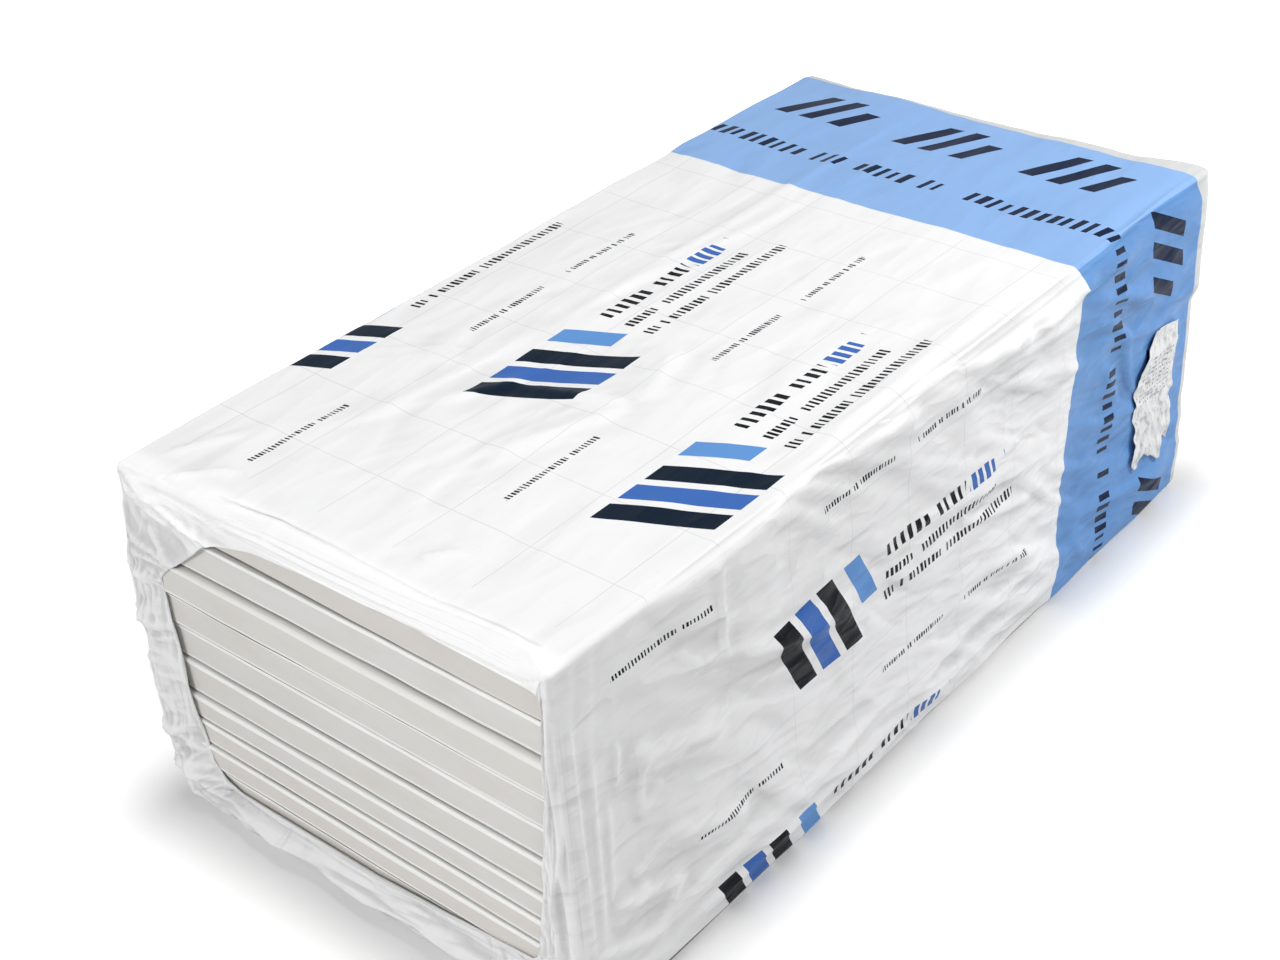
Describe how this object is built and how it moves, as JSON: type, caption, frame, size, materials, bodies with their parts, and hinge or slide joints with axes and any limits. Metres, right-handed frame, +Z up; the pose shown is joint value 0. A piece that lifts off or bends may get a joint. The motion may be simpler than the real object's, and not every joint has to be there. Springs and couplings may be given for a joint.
{
  "type": "wrapped pack of polyiso insulation boards",
  "caption": "Stack of rigid foam insulation boards with thin facings, held in a printed shrink film sleeve that is open at both ends, with a paper label.",
  "frame": {"origin": "middle of the footprint, on the floor", "axes": "+Z up, X along the boards with the end that faces the viewer at -X, label on the -Y side near +X"},
  "size_m": [1.219, 0.6064, 0.467],
  "materials": {
    "foam": "fine closed-cell foam, cut edge, matte",
    "facing": "thin foil laminate, satin",
    "film": "white printed shrink film, wrinkled, glossy",
    "label_paper": "plain self-adhesive paper"
  },
  "bodies": {
    "root": {"board_01_core": "foam", "board_01_top_facing": "facing", "board_01_bottom_facing": "facing", "board_02_core": "foam", "board_02_top_facing": "facing", "board_02_bottom_facing": "facing", "board_03_core": "foam", "board_03_top_facing": "facing", "board_03_bottom_facing": "facing", "board_04_core": "foam", "board_04_top_facing": "facing", "board_04_bottom_facing": "facing", "board_05_core": "foam", "board_05_top_facing": "facing", "board_05_bottom_facing": "facing", "board_06_core": "foam", "board_06_top_facing": "facing", "board_06_bottom_facing": "facing", "board_07_core": "foam", "board_07_top_facing": "facing", "board_07_bottom_facing": "facing", "board_08_core": "foam", "board_08_top_facing": "facing", "board_08_bottom_facing": "facing", "board_09_core": "foam", "board_09_top_facing": "facing", "board_09_bottom_facing": "facing", "board_10_core": "foam", "board_10_top_facing": "facing", "board_10_bottom_facing": "facing", "board_11_core": "foam", "board_11_top_facing": "facing", "board_11_bottom_facing": "facing", "film_sleeve": "film", "pack_label": "label_paper"}
  },
  "joints": []
}
